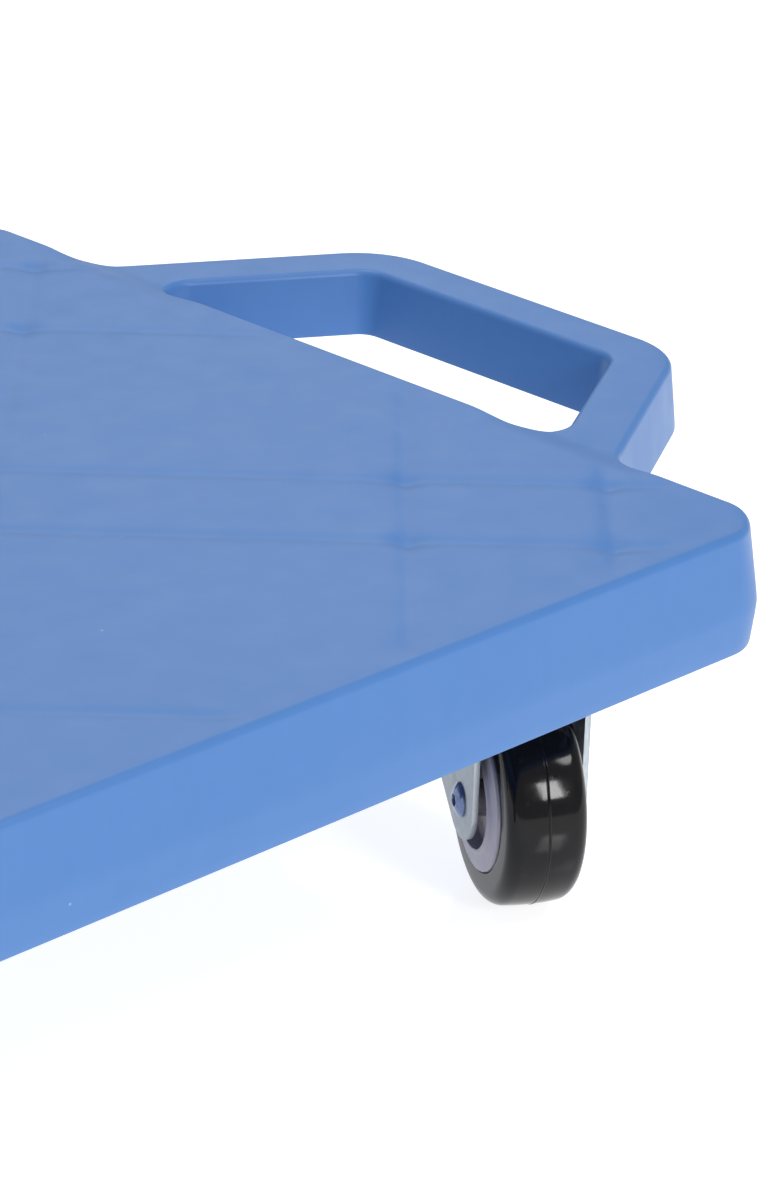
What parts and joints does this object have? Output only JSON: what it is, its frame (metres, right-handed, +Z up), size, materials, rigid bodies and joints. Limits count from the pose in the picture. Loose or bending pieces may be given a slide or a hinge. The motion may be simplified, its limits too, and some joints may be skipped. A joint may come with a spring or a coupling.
{
  "type": "scooter board",
  "caption": "Low square rolling board with a moulded ribbed deck, a loop handle on two opposite sides and small swivel casters.",
  "frame": {"origin": "on the floor, below the middle of the deck", "axes": "+X towards the right handle, -Y towards the front edge, +Z up"},
  "size_m": [0.4572, 0.3048, 0.0962],
  "materials": {
    "deck_plastic": "satin moulded polypropylene, mid blue",
    "zinc_plate": "bright zinc-plated pressed steel, faint blue passivate",
    "zinc_fastener": "bright zinc-plated steel fasteners",
    "bearing_steel": "ground bearing steel",
    "hub_plastic": "satin lavender-grey moulded plastic",
    "tread": "glossy black moulded polyurethane"
  },
  "bodies": {
    "board": {"deck": "deck_plastic", "mount_screws": "zinc_fastener", "caster_plate_front_right": "zinc_plate", "kingpin_front_right": "bearing_steel", "race_cap_front_right": "zinc_plate", "caster_plate_front_left": "zinc_plate", "kingpin_front_left": "bearing_steel", "race_cap_front_left": "zinc_plate", "caster_plate_rear_right": "zinc_plate", "kingpin_rear_right": "bearing_steel", "race_cap_rear_right": "zinc_plate", "caster_plate_rear_left": "zinc_plate", "kingpin_rear_left": "bearing_steel", "race_cap_rear_left": "zinc_plate"},
    "swivel_front_right": {"upper_balls_front_right": "bearing_steel", "lower_balls_front_right": "bearing_steel", "fork_front_right": "zinc_plate", "axle_screw_front_right": "zinc_fastener", "axle_sleeve_front_right": "zinc_fastener", "axle_spacers_front_right": "bearing_steel", "bearing_inner_rings_front_right": "bearing_steel", "bearing_balls_front_right": "bearing_steel"},
    "wheel_front_right": {"bearing_outer_rings_front_right": "bearing_steel", "wheel_hub_front_right": "hub_plastic", "tread_front_right": "tread"},
    "swivel_front_left": {"upper_balls_front_left": "bearing_steel", "lower_balls_front_left": "bearing_steel", "fork_front_left": "zinc_plate", "axle_screw_front_left": "zinc_fastener", "axle_sleeve_front_left": "zinc_fastener", "axle_spacers_front_left": "bearing_steel", "bearing_inner_rings_front_left": "bearing_steel", "bearing_balls_front_left": "bearing_steel"},
    "wheel_front_left": {"bearing_outer_rings_front_left": "bearing_steel", "wheel_hub_front_left": "hub_plastic", "tread_front_left": "tread"},
    "swivel_rear_right": {"upper_balls_rear_right": "bearing_steel", "lower_balls_rear_right": "bearing_steel", "fork_rear_right": "zinc_plate", "axle_screw_rear_right": "zinc_fastener", "axle_sleeve_rear_right": "zinc_fastener", "axle_spacers_rear_right": "bearing_steel", "bearing_inner_rings_rear_right": "bearing_steel", "bearing_balls_rear_right": "bearing_steel"},
    "wheel_rear_right": {"bearing_outer_rings_rear_right": "bearing_steel", "wheel_hub_rear_right": "hub_plastic", "tread_rear_right": "tread"},
    "swivel_rear_left": {"upper_balls_rear_left": "bearing_steel", "lower_balls_rear_left": "bearing_steel", "fork_rear_left": "zinc_plate", "axle_screw_rear_left": "zinc_fastener", "axle_sleeve_rear_left": "zinc_fastener", "axle_spacers_rear_left": "bearing_steel", "bearing_inner_rings_rear_left": "bearing_steel", "bearing_balls_rear_left": "bearing_steel"},
    "wheel_rear_left": {"bearing_outer_rings_rear_left": "bearing_steel", "wheel_hub_rear_left": "hub_plastic", "tread_rear_left": "tread"}
  },
  "joints": [
    {"name": "swivel_front_right_turn", "type": "hinge", "parent": "board", "child": "swivel_front_right", "pos_m": [0.10365, -0.10365, 0.0634], "axis": [0, 0, 1], "continuous": true},
    {"name": "wheel_front_right_spin", "type": "hinge", "parent": "swivel_front_right", "child": "wheel_front_right", "pos_m": [0.09569, -0.11787, 0.0275], "axis": [0.8725, -0.4886, 0], "continuous": true},
    {"name": "swivel_front_left_turn", "type": "hinge", "parent": "board", "child": "swivel_front_left", "pos_m": [-0.10365, -0.10365, 0.0634], "axis": [0, 0, 1], "continuous": true},
    {"name": "wheel_front_left_spin", "type": "hinge", "parent": "swivel_front_left", "child": "wheel_front_left", "pos_m": [-0.11161, -0.11787, 0.0275], "axis": [0.8725, -0.4886, 0], "continuous": true},
    {"name": "swivel_rear_right_turn", "type": "hinge", "parent": "board", "child": "swivel_rear_right", "pos_m": [0.10365, 0.10365, 0.0634], "axis": [0, 0, 1], "continuous": true},
    {"name": "wheel_rear_right_spin", "type": "hinge", "parent": "swivel_rear_right", "child": "wheel_rear_right", "pos_m": [0.09569, 0.08943, 0.0275], "axis": [0.8725, -0.4886, 0], "continuous": true},
    {"name": "swivel_rear_left_turn", "type": "hinge", "parent": "board", "child": "swivel_rear_left", "pos_m": [-0.10365, 0.10365, 0.0634], "axis": [0, 0, 1], "continuous": true},
    {"name": "wheel_rear_left_spin", "type": "hinge", "parent": "swivel_rear_left", "child": "wheel_rear_left", "pos_m": [-0.11161, 0.08943, 0.0275], "axis": [0.8725, -0.4886, 0], "continuous": true}
  ]
}
